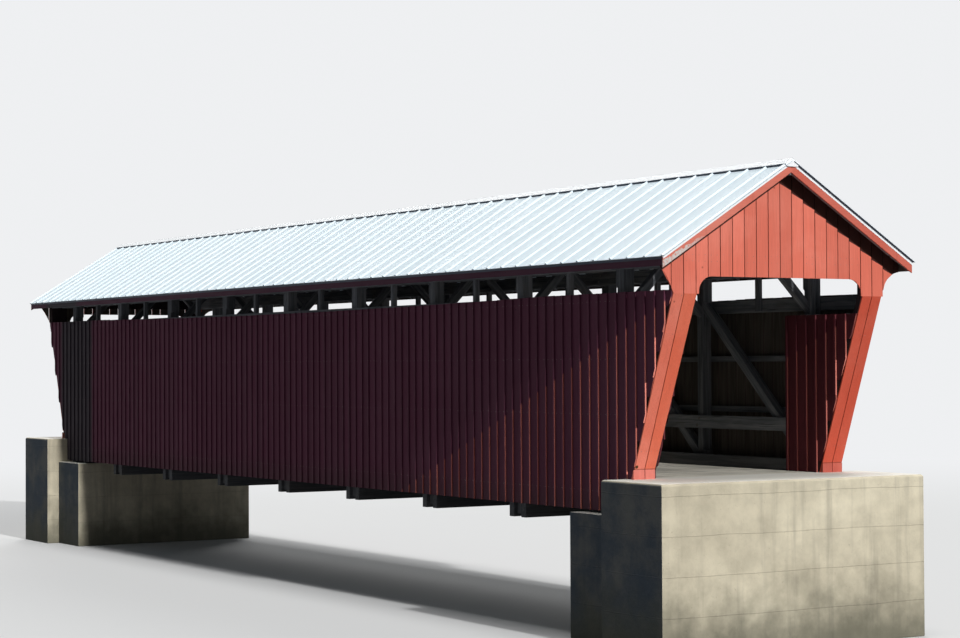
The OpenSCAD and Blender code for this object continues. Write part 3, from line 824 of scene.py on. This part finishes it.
def columns(edges, corners):
    """Seven places across each board between two edges, evenly spread, with the place nearest to a corner
    of the outline moved onto it."""
    lo, hi = edges[:-1] + BOARD_GAP / 2, edges[1:] - BOARD_GAP / 2
    x = lo[:, None] + (hi - lo)[:, None] * np.linspace(0.0, 1.0, 7)
    for corner in corners:
        rows = np.flatnonzero((lo < corner) & (corner < hi))
        nearest = np.abs(x[rows, 1:-1] - corner).argmin(1) + 1
        x[rows, nearest] = corner
    return x


def board_outline(across, face, back, cup):
    """Outline of a board: its face, hollowed or crowned by a cup that is widest at mid-width, then its
    back."""
    n, k = across.shape
    bow = 4.0 * np.linspace(0.0, 1.0, k) * np.linspace(1.0, 0.0, k)
    front = face + cup[:, None] * bow
    there = np.concatenate([across, across[:, ::-1]], 1)
    depth = np.concatenate([front, np.full((n, k), back)], 1)
    return there, depth


def strip_outline(lo, hi, back, face):
    """Outline of a strip from lo to hi across, whose two corners at its face are cut off by a chamfer: its
    six places across, and their depths."""
    lo, hi, back, face = np.broadcast_arrays(lo, hi, back, face)
    cut = face + np.copysign(CHAMFER, back - face)
    return (np.stack([lo, lo, lo + CHAMFER, hi - CHAMFER, hi, hi], -1),
            np.stack([back, cut, face, face, cut, back], -1))


def leg_foot(x):
    """Height where a vertical line at x meets the back of a raked leg, and the deck before that."""
    return DECK + np.maximum(np.abs(x) - (FOOT_X - LEG_BACK), 0.0) / LEAN


def tipped_foot(x):
    """Foot of boards cut to the slant of a leg. The slim tip of each is missing, so it is level there."""
    return leg_foot(np.maximum(np.abs(x), np.abs(x).min(axis=1, keepdims=True) + TIP_W))


def square_foot(x):
    """Foot of battens that are cut square where their outer edge meets a leg."""
    return leg_foot(np.abs(x).max(axis=1, keepdims=True))


def siding_foot(x, over_block):
    """Foot of the siding: low between the concrete blocks, and as given over them."""
    return np.where(np.abs(x.mean(axis=1, keepdims=True)) < SIDING_END, SIDING_FOOT, over_block)


def siding_top(x):
    """Top of the siding at x, which has risen at the ends and sunk between them along a parabola."""
    return SIDING_TOP + TOP_RISE - TOP_SAG * np.maximum(1.0 - np.square(x / SAG_HALF), 0.0)


def boarded_wall(name, side, edges, joints, back, face, board_foot, batten_foot, top, material, replaced):
    """Upright boards between edges, and a batten over each joint, in a wall along X, where side is 1 on the
    right. board_foot and batten_foot give the heights of the foot for all places across the boards or the
    battens, one to a row, and top gives that of the top for their middles."""
    corner = FOOT_X - LEG_BACK
    across = columns(edges, (corner, -corner))
    n, k = across.shape
    set_back = RNG.uniform(0.0, SET_BACK, n)[:, None] * np.sign(back - face)
    across, depth = board_outline(across, face, back, RNG.uniform(-CUP, 0.0) * np.ones(n))
    depth[:, :k] += set_back
    boards = Bars()
    heights = top(across.mean(1, keepdims=True)) - RNG.uniform(0.0, BOARD_TOPS, n)[:, None]
    boards.add(2, board_foot(across), heights, np.dstack([across, side * depth]))
    boards.make(name + "_boards", material, "siding_red", replaced)
    half = (BATTEN_W + RNG.uniform(-BATTEN_WIDTHS, BATTEN_WIDTHS, len(joints))) / 2
    centre = joints + RNG.uniform(-BATTEN_SHIFT, BATTEN_SHIFT, len(joints))
    outer = face + math.copysign(BATTEN_T, face - back)
    across, depth = strip_outline(centre - half, centre + half, face, outer)
    battens = Bars()
    heights = top(joints[:, None]) - RNG.uniform(0.0, BATTEN_TOPS, len(joints))[:, None]
    battens.add(2, batten_foot(across), heights, np.dstack([across, side * depth]))
    battens.make(name + "_battens", material, "siding_red")


def siding_joints():
    """The joints of the siding between the concrete blocks, which are evenly spread."""
    reach = SIDING_END + SLAB_GAP / 2
    return np.linspace(-reach, reach, round(2 * reach / SIDING_PITCH) + 1)


def siding(side, name):
    """One long wall. Its joints go on at the same pitch over the concrete blocks, where its foot follows
    the backs of the legs."""
    inner = siding_joints()
    reach = inner[-1]
    beyond = reach + (inner[1] - inner[0]) * np.arange(1, 5)
    joints = np.concatenate([-beyond[::-1], inner, beyond])
    end = GABLE_X - LEG_BACK
    edges = np.concatenate([[-end], joints, [end]])
    edges[np.abs(np.abs(edges) - reach) < 1e-6] *= SIDING_END / reach
    cut = RIGHT_CUT if side > 0 else -BATTEN_PAST
    boarded_wall(name, side, edges, joints, WALL_IN, WALL_OUT,
                 lambda x: siding_foot(x, tipped_foot(x)),
                 lambda x: siding_foot(x, leg_foot(np.abs(x) + cut)),
                 siding_top, SIDING_RED_SHADED, [name])


def end_panels(end, name):
    """Boarding on the inner side of both wall ends at one portal, with its joints at an even pitch."""
    joints = PANEL_END + BATTEN_W / 2 + INNER_PITCH * np.arange(0, 8)
    stop = GABLE_X - LEG_BACK - (JOINT - PANEL_TOP) * LEAN
    joints = joints[joints < stop - NARROWEST]
    edges = np.concatenate([[PANEL_END], joints[1:], [stop]])
    for side, label in ((1, "right"), (-1, "left")):
        boarded_wall(f"{label}_{name}", side, np.sort(end * edges), np.sort(end * joints),
                     PANEL_BACK, PANEL_FACE, tipped_foot, square_foot, lambda x: PANEL_TOP, INNER_RED_SHADED,
                     [name] if side == 1 else ())


def opening_top(y, half):
    """Lower edge of the gable boards: the flat head of the opening, the arc of its corner, the joint of the
    leg, and beyond the leg the hollow curve of the ear."""
    out = np.abs(y)
    head = JOINT + OPENING_RISE
    past = np.maximum(out - half + OPENING_R, 0.0)
    arc = head - OPENING_R + np.sqrt(np.maximum(OPENING_R ** 2 - past ** 2, 0.0))
    ear = SIDING_TOP + np.sqrt(np.maximum(EAR_R ** 2 - (LEG_OUT + EAR_R - out) ** 2, 0.0))
    beyond = np.maximum(out - EAR_LEFT, 0.0)
    rise = (np.sqrt(EAR_SLANT ** 2 + 4 * EAR_BOW * beyond) - EAR_SLANT) / (2 * EAR_BOW)
    flat_ear = np.minimum(JOINT + rise, FASCIA_FOOT + EAR_LAP)
    outer = np.where(y < 0, flat_ear, np.where(out < LEG_OUT - 1e-6, JOINT, ear))
    return np.where(out < half - 1e-6, arc, outer)


def gable_columns(lo, hi, half, side):
    """Places across one gable board: closer together where the curve along its foot is steep, with a pair
    at the edge of the opening."""
    steep = np.sin(np.linspace(0.0, math.pi / 2, 13))
    if lo < half < hi:
        return np.concatenate([lo + (half - lo) * steep, [half + 1e-5, hi]])
    if lo < half < hi + GABLE_BOARD_W:
        return lo + (hi - lo) * steep
    if side < 0 and lo < EAR_LEFT < hi:
        return np.concatenate([[lo], np.linspace(EAR_LEFT, hi, 6)])
    if lo > LEG_OUT:
        return lo + (hi - lo) * (1.0 - steep[::-1])
    return np.linspace(lo, hi, 7)


def gable(end, name):
    """Upright boards under the roof slopes, each cut to the opening, the joint of the leg or the ear."""
    boards = Bars()
    edges = np.append(np.arange(0.0, LEG_OUT + GABLE_BOARD_W + 0.01, GABLE_BOARD_W), FASCIA_IN)
    for side, half in ((-1, OPENING_LEFT), (1, OPENING_RIGHT)):
        for lo, hi in zip(edges[:-1], edges[1:]):
            y = side * gable_columns(lo + GABLE_GAP / 2, hi - GABLE_GAP / 2, half, side)[None, :]
            face = GABLE_X - RNG.uniform(0.0, GABLE_SET_BACK)
            cup = np.array([RNG.uniform(-GABLE_CUP, 0.0)])
            across, depth = board_outline(y, face, GABLE_X - BOARD_T, cup)
            top = PURLIN_UNDER - np.abs(across) * TAN_PITCH
            boards.add(2, opening_top(across, half), top, np.dstack([end * depth, across]))
    boards.make(name + "_boards", PORTAL_RED, "portal_red", [name])


def legs(end, name):
    """Two raked boards to a leg, between the horizontal cuts at the deck and at the joint, and upright
    plinth blocks in front of their feet."""
    boards, plinths = Bars(), Bars()
    rise = PLINTH_H * LEAN
    for side, edges in LEG_EDGES.items():
        for k in (0, 1):
            # Each board gives up half the gap along the edge where they meet
            lo, hi = np.array(edges[k:k + 2]) + LEG_GAP / 2 * np.array([[k], [k - 1]])
            across, back = strip_outline(lo, hi, LEG_BACK, 0.0)
            foot, top = side * across[:1], side * across[1:]
            back = back[:1] + RNG.uniform(0.0, LEG_SET_BACK)
            boards.add(2, DECK, JOINT, np.dstack([end * (FOOT_X - back), foot]),
                       np.dstack([end * (GABLE_X - back), top]))
            front = strip_outline(lo, hi, np.array([0.0, rise]), rise + PLINTH_PROUD)[1]
            if side < 0 and k == 1:
                foot = foot - PLINTH_OUT * np.array([[0, 0, 0, 1, 1, 1]])
            plinths.add(2, DECK, DECK + PLINTH_H, np.dstack([end * (FOOT_X + front[:1]), foot]),
                        np.dstack([end * (FOOT_X + front[1:]), foot]))
    boards.make(name + "_boards", LEG_RED, "portal_red", [name])
    plinths.make(name + "_plinths", PLINTH_RED, "portal_red")


def deck():
    """Planks laid across the bridge, each with eased upper edges and a height of its own."""
    half = high("deck").x
    count = round(2 * half / PLANK_W)
    top = DECK - RNG.uniform(0.0, PLANK_TOPS, count)
    x, z = strip_outline(*in_a_row(half, count, PLANK_GAP), low("deck").z, top)
    reach = high("deck").y - RNG.uniform(0.0, PLANK_ENDS, (count, 1))
    planks = Bars()
    planks.add(1, -reach, reach, np.dstack([z, x]))
    planks.make("deck_boards", DECK_WOOD, "deck_planks", ["deck"])


def on_slope(side, down, up):
    """Places in Y and Z on the roof slope of one side: a distance down it from the ridge, and a height
    square to it."""
    return (side * (down * math.cos(PITCH) + up * math.sin(PITCH)),
            RIDGE - down * math.sin(PITCH) + up * math.cos(PITCH))


def slope_strip(side, down, up):
    """Outline of a strip on one slope, between two distances down it and two heights square to it."""
    return np.column_stack(on_slope(side, np.array(down)[[0, 1, 1, 0]], np.array(up)[[0, 0, 1, 1]]))[None]


def ribs():
    """Places of the ribs along the roof, one to a row."""
    return np.arange(SHEETS + 1)[:, None] * SHEET_PITCH - ROOF_X


def roof(side, name):
    """Ribbed sheets on one slope, as a closed shell: across the sheets the height is 0 on the pans, which
    billow a little, and SEAM_H on the ribs; the outline is carried from the ridge to the eave."""
    outline = ribs() + np.array([-RIB_FOOT, -RIB_TOP, RIB_TOP, RIB_FOOT])
    pans = ribs()[:-1] + SHEET_PITCH * np.array([0.30, 0.50, 0.70])
    x = np.clip(np.append(np.hstack([outline[:-1], pans]).ravel(), outline[-1]), -ROOF_X, ROOF_X)
    lift = np.append(np.tile([0, SEAM_H, SEAM_H, 0, 0, 0, 0], SHEETS), [0, SEAM_H, SEAM_H, 0])
    swell = RNG.uniform(0.3, 1.0, (SHEETS, 1)) * [0.7, 1.0, 0.7]
    billow = np.append(np.hstack([np.zeros((SHEETS, 4)), swell]).ravel(), np.zeros(4))
    down = np.linspace(2 * SHEET_T, SLOPE, 25)[:, None]
    wave = np.sin(down * 5.5 + 9.0 * np.sin(x * 1.7)) * BILLOW
    top = lift + billow * wave
    points = [np.stack([x + 0.0 * down, *on_slope(side, down, height)], -1).reshape(-1, 3)
              for height in (top, np.full_like(top, -SHEET_T))]
    rows, cols = top.shape
    index = np.arange(rows * cols).reshape(rows, cols)
    quads = np.stack([index[:-1, :-1], index[1:, :-1], index[1:, 1:], index[:-1, 1:]], -1).reshape(-1, 4)
    edge = np.concatenate([index[:, 0], index[-1, 1:], index[-2::-1, -1], index[0, -2:0:-1]])
    rim = np.stack([edge, edge + rows * cols, np.roll(edge, -1) + rows * cols, np.roll(edge, -1)], -1)
    faces = np.vstack([quads, quads[:, ::-1] + rows * cols, rim])
    if side < 0:
        faces = faces[:, ::-1]
    piece(name + "_sheets", np.vstack(points), faces.tolist(), ROOF_WHITE, replaced=[name])


def closures():
    """Closure strips between the ribs, under both edges of the ridge cap, dark as painted shade of the gap
    under the cap.
    """
    strips = Bars()
    for side in (-1, 1):
        strips.add(0, ribs()[:-1] + RIB_TOP, ribs()[1:] - RIB_TOP,
                   slope_strip(side, CLOSURE, (-CLOSURE_DROP, SEAM_H - CLOSURE_DROP)))
    strips.make("ridge_closure_shade", SHADE_METAL, "roof_metal")


def verge_lips():
    """The metal of each slope runs out past the verge trim: a white lip, and under it a dark hem that is
    painted shade.
    """
    for label, material, heights in (("verge_lips", ROOF_WHITE, (0.0, LIP_T)),
                                     ("verge_hem_shade", SHADE_METAL, (-LIP_T, -HEM_GAP))):
        lips = Bars()
        for end in (-1, 1):
            start, stop = sorted((end * (ROOF_X - LIP_IN), end * (ROOF_X + LIP_OUT)))
            for side in (-1, 1):
                lips.add(0, start, stop, slope_strip(side, (LIP_START, SLOPE), heights))
        lips.make(label, material, "roof_metal")


def eaves():
    """Fascia boards end to end, and in front of their upper part a thin metal drip edge, in lengths of about
    three metres, whose white metal is painted dark as in shade."""
    reach = high("fascias").x
    fascia_z, fascia_y = strip_outline(FASCIA_FOOT, high("fascias").z, FASCIA_IN, FASCIA_OUT)
    drip_y = FASCIA_OUT + np.array([0.0, DRIP_T, DRIP_T, DRIP_T + DRIP_KICK, DRIP_KICK, 0.0])
    drip_top = RIDGE - (FASCIA_OUT + DRIP_T) * TAN_PITCH - SHEET_T / math.cos(PITCH) - 0.001
    drip_z = drip_top - np.array([0.0, 0.0, DRIP_D - 0.008, DRIP_D - 0.002, DRIP_D, DRIP_D - DRIP_KICK])
    boards, drips = Bars(), Bars()
    for side in (-1, 1):
        for bars, count, gap, y, z in ((boards, FASCIA_BOARDS, FASCIA_GAP, fascia_y, fascia_z),
                                       (drips, DRIPS, DRIP_GAP, drip_y, drip_z)):
            start, stop = in_a_row(reach, count, gap)
            bars.add(0, start[:, None], stop[:, None], np.column_stack([side * y, z])[None])
    boards.make("fascia_boards", SIDING_RED_SHADED, "siding_red", ["fascias"])
    drips.make("drip_edges", SHADE_METAL, "roof_metal")


def add_heads(bars, axis, sign, face, centres, radius, height, sides=6, taper=0.75):
    """Adds nail or bolt heads: short prisms with a smaller outer face, on a plane across an axis. centres
    are (N, 2) places in the two axes that follow it, and sign is the way they stand out."""
    turn = np.arange(sides) * 2 * math.pi / sides + math.pi / sides
    ring = np.column_stack([np.cos(turn), np.sin(turn)]) * radius
    foot = centres[:, None, :] + ring
    crown = centres[:, None, :] + ring * taper
    if sign > 0:
        bars.add(axis, face, face + height, foot, crown)
    else:
        bars.add(axis, face - height, face, crown, foot)


def nails():
    """Nail heads: two on each siding board and one on each batten at every girt, two on each gable board
    at the header, and two on each leg board every 60 cm."""
    heads = Bars()
    joints = siding_joints()[1:-1]
    middles = (joints[:-1] + joints[1:]) / 2
    for side in (-1, 1):
        for z in GIRTS:
            jitter = RNG.uniform(-NAIL_JITTER, NAIL_JITTER, (3, len(joints)))
            spots = np.column_stack([DECK + z + jitter[0], joints + 0.4 * jitter[1]])
            add_heads(heads, 1, side, side * (WALL_OUT + BATTEN_T), spots, NAIL_R, NAIL_OUT)
            for off in (-NAIL_PAIR / 2, NAIL_PAIR / 2):
                spots = np.column_stack([DECK + z + jitter[2, 1:], middles + off])
                add_heads(heads, 1, side, side * (WALL_OUT - SET_BACK), spots, NAIL_R, NAIL_OUT)
    across = (np.arange(-9, 9)[:, None] + np.array(GABLE_NAILS)).ravel() * GABLE_BOARD_W
    for end in (-1, 1):
        for z in HEADER_NAILS:
            jitter = RNG.uniform(-GABLE_NAIL_JITTER, GABLE_NAIL_JITTER, len(across))
            spots = np.column_stack([across, DECK + z + jitter])
            add_heads(heads, 0, end, end * (GABLE_X - GABLE_SET_BACK), spots, NAIL_R, GABLE_NAIL_OUT)
        for z in np.arange(LEG_NAILS_FROM, JOINT - DECK, LEG_NAILS_PITCH):
            y = []
            for side, edges in LEG_EDGES.items():
                lines = np.array([foot + (top - foot) * z / (JOINT - DECK) for foot, top in edges])
                y += (side * (lines[:-1] + np.diff(lines) * np.vstack(LEG_NAILS)).ravel()).tolist()
            jitter = RNG.uniform(-LEG_NAIL_JITTER, LEG_NAIL_JITTER, len(y))
            spots = np.column_stack([y, DECK + z + jitter])
            add_heads(heads, 0, end, end * (FOOT_X + z * LEAN - LEG_SET_BACK), spots, NAIL_R, LEG_NAIL_OUT)
    heads.make("nail_heads", IRON, "portal_red")


def bolts():
    """Bolt heads on round washers: two through the guard rail and two through the top chord at each post."""
    heads = Bars()
    posts = np.arange(-4, 5) * PANEL_L
    chord_z = (low("left_top_chord").z + high("left_top_chord").z) / 2
    rail_face = high("guard_rails").y - RAIL_T
    chord_face = low("right_top_chord").y
    for side in (-1, 1):
        for face, z, spread in ((rail_face, DECK + RAIL_Z, RAIL_BOLTS), (chord_face, chord_z, CHORD_BOLTS)):
            for k in (-1, 1):
                spots = np.column_stack([z + k * spread + 0.0 * posts, posts + k * BOLTS_ALONG])
                add_heads(heads, 1, -side, side * face, spots, *WASHER, 14, 0.96)
                add_heads(heads, 1, -side, side * (face - WASHER[1]), spots, *BOLT_HEAD, 6, 0.90)
    heads.make("bolt_heads", IRON, "grey_timber")


# The timbers of the frame, and how far their edges are eased
TIMBERS = {
    "bed_timbers": 0.006, "floor_beams": 0.006, "stringers": 0.005, "left_bottom_chord": 0.006,
    "right_bottom_chord": 0.006, "left_posts": 0.006, "right_posts": 0.006, "left_braces": 0.005,
    "right_braces": 0.005, "left_top_chord": 0.005, "right_top_chord": 0.005, "left_girts": 0.003,
    "right_girts": 0.003, "strip_studs": 0.003, "guard_rails": 0.004, "curbs": 0.006, "tie_beams": 0.005,
    "knee_braces": 0.005, "lateral_braces": 0.002, "rafters": 0.002, "ridge_board": 0.002,
    "left_purlins": 0.002, "right_purlins": 0.002,
}


def shown_rays(tree):
    """1 for rays from the camera and from glossy surfaces, which see the pale floor and backdrop."""
    seen = outputs(put(tree, "LightPath"))
    return maths("MAXIMUM", seen["Is Camera Ray"], seen["Is Glossy Ray"])


def stage():
    """A pale floor that keeps the shadow and fades into the backdrop, three soft suns and a plain world."""
    backdrop = (0.86, 0.87, 0.885)
    bpy.ops.mesh.primitive_circle_add(vertices=96, radius=600.0, fill_type="NGON", location=(0, 0, -0.001))
    floor = bpy.context.object
    floor.name = "floor"
    material, tree = new_material("floor")
    flat = shown_rays(tree)
    away = result(tree, "VectorMath", {0: place(tree)}, "Value", operation="LENGTH")
    matt = result(tree, "BsdfDiffuse", {"Color": mix(flat, (0.17, 0.17, 0.18), (0.66, 0.66, 0.655))})
    glow = result(tree, "Emission", {"Color": backdrop, "Strength": 1.0})
    both = result(tree, "MixShader", {0: step(away, 16.0, 60.0) * flat, 1: matt, 2: glow})
    put(tree, "OutputMaterial", {"Surface": both})
    floor.data.materials.append(material)

    world = bpy.data.worlds.new("studio")
    bpy.context.scene.world = world
    tree = clean_tree(world)
    soft = result(tree, "Background", {"Color": (0.84, 0.93, 1.0), "Strength": 0.125})
    shown = result(tree, "Background", {"Color": backdrop, "Strength": 1.0})
    both = result(tree, "MixShader", {0: shown_rays(tree), 1: soft, 2: shown})
    put(tree, "OutputWorld", {"Surface": both})

    for label, toward, strength, spread in (("key", (1.0, -0.020, SUN_FALL), 3.00, 1.5),
                                            ("above", (0.0, 0.0, 1.0), 1.60, 20.0),
                                            ("back", (-0.80, 0.52, 0.42), 1.50, 30.0)):
        data = bpy.data.lights.new(label, "SUN")
        data.energy = strength
        data.angle = math.radians(spread)
        lamp = bpy.data.objects.new(label, data)
        bpy.context.scene.collection.objects.link(lamp)
        ahead = -np.array(toward) / np.linalg.norm(toward)
        side = np.cross(ahead, (0.0, 0.0, 1.0)) if abs(ahead[2]) < 0.99 else np.array([0.0, 1.0, 0.0])
        side /= np.linalg.norm(side)
        up = np.cross(side, ahead)
        lamp.matrix_world = Matrix((side, up, -ahead)).transposed().to_4x4()


camera()
for right_or_left, wall in ((1, "right_siding"), (-1, "left_siding")):
    siding(right_or_left, wall)
for end_sign, end_name in ((1, "near"), (-1, "far")):
    end_panels(end_sign, end_name + "_end_panels")
    gable(end_sign, end_name + "_gable")
    legs(end_sign, end_name + "_legs")
    eased(end_name + "_rakes", RAKE_RED, SAWN_EASED)
    eased(end_name + "_verge_trims", TRIM_WHITE, METAL_EASED)
    eased(end_name + "_abutment", CONCRETE, CONCRETE_EASED, 2)
    eased(end_name + "_frame", FRAME_WOOD_SHADED, SAWN_EASED)
deck()
for timber, edge in TIMBERS.items():
    eased(timber, GREY_TIMBER, edge)
eaves()
closures()
verge_lips()
nails()
bolts()
eased("ridge_cap", TRIM_WHITE, METAL_EASED)
for right_or_left, slope in ((1, "right_roof"), (-1, "left_roof")):
    roof(right_or_left, slope)
stage()
bpy.context.scene.view_settings.view_transform = "Standard"
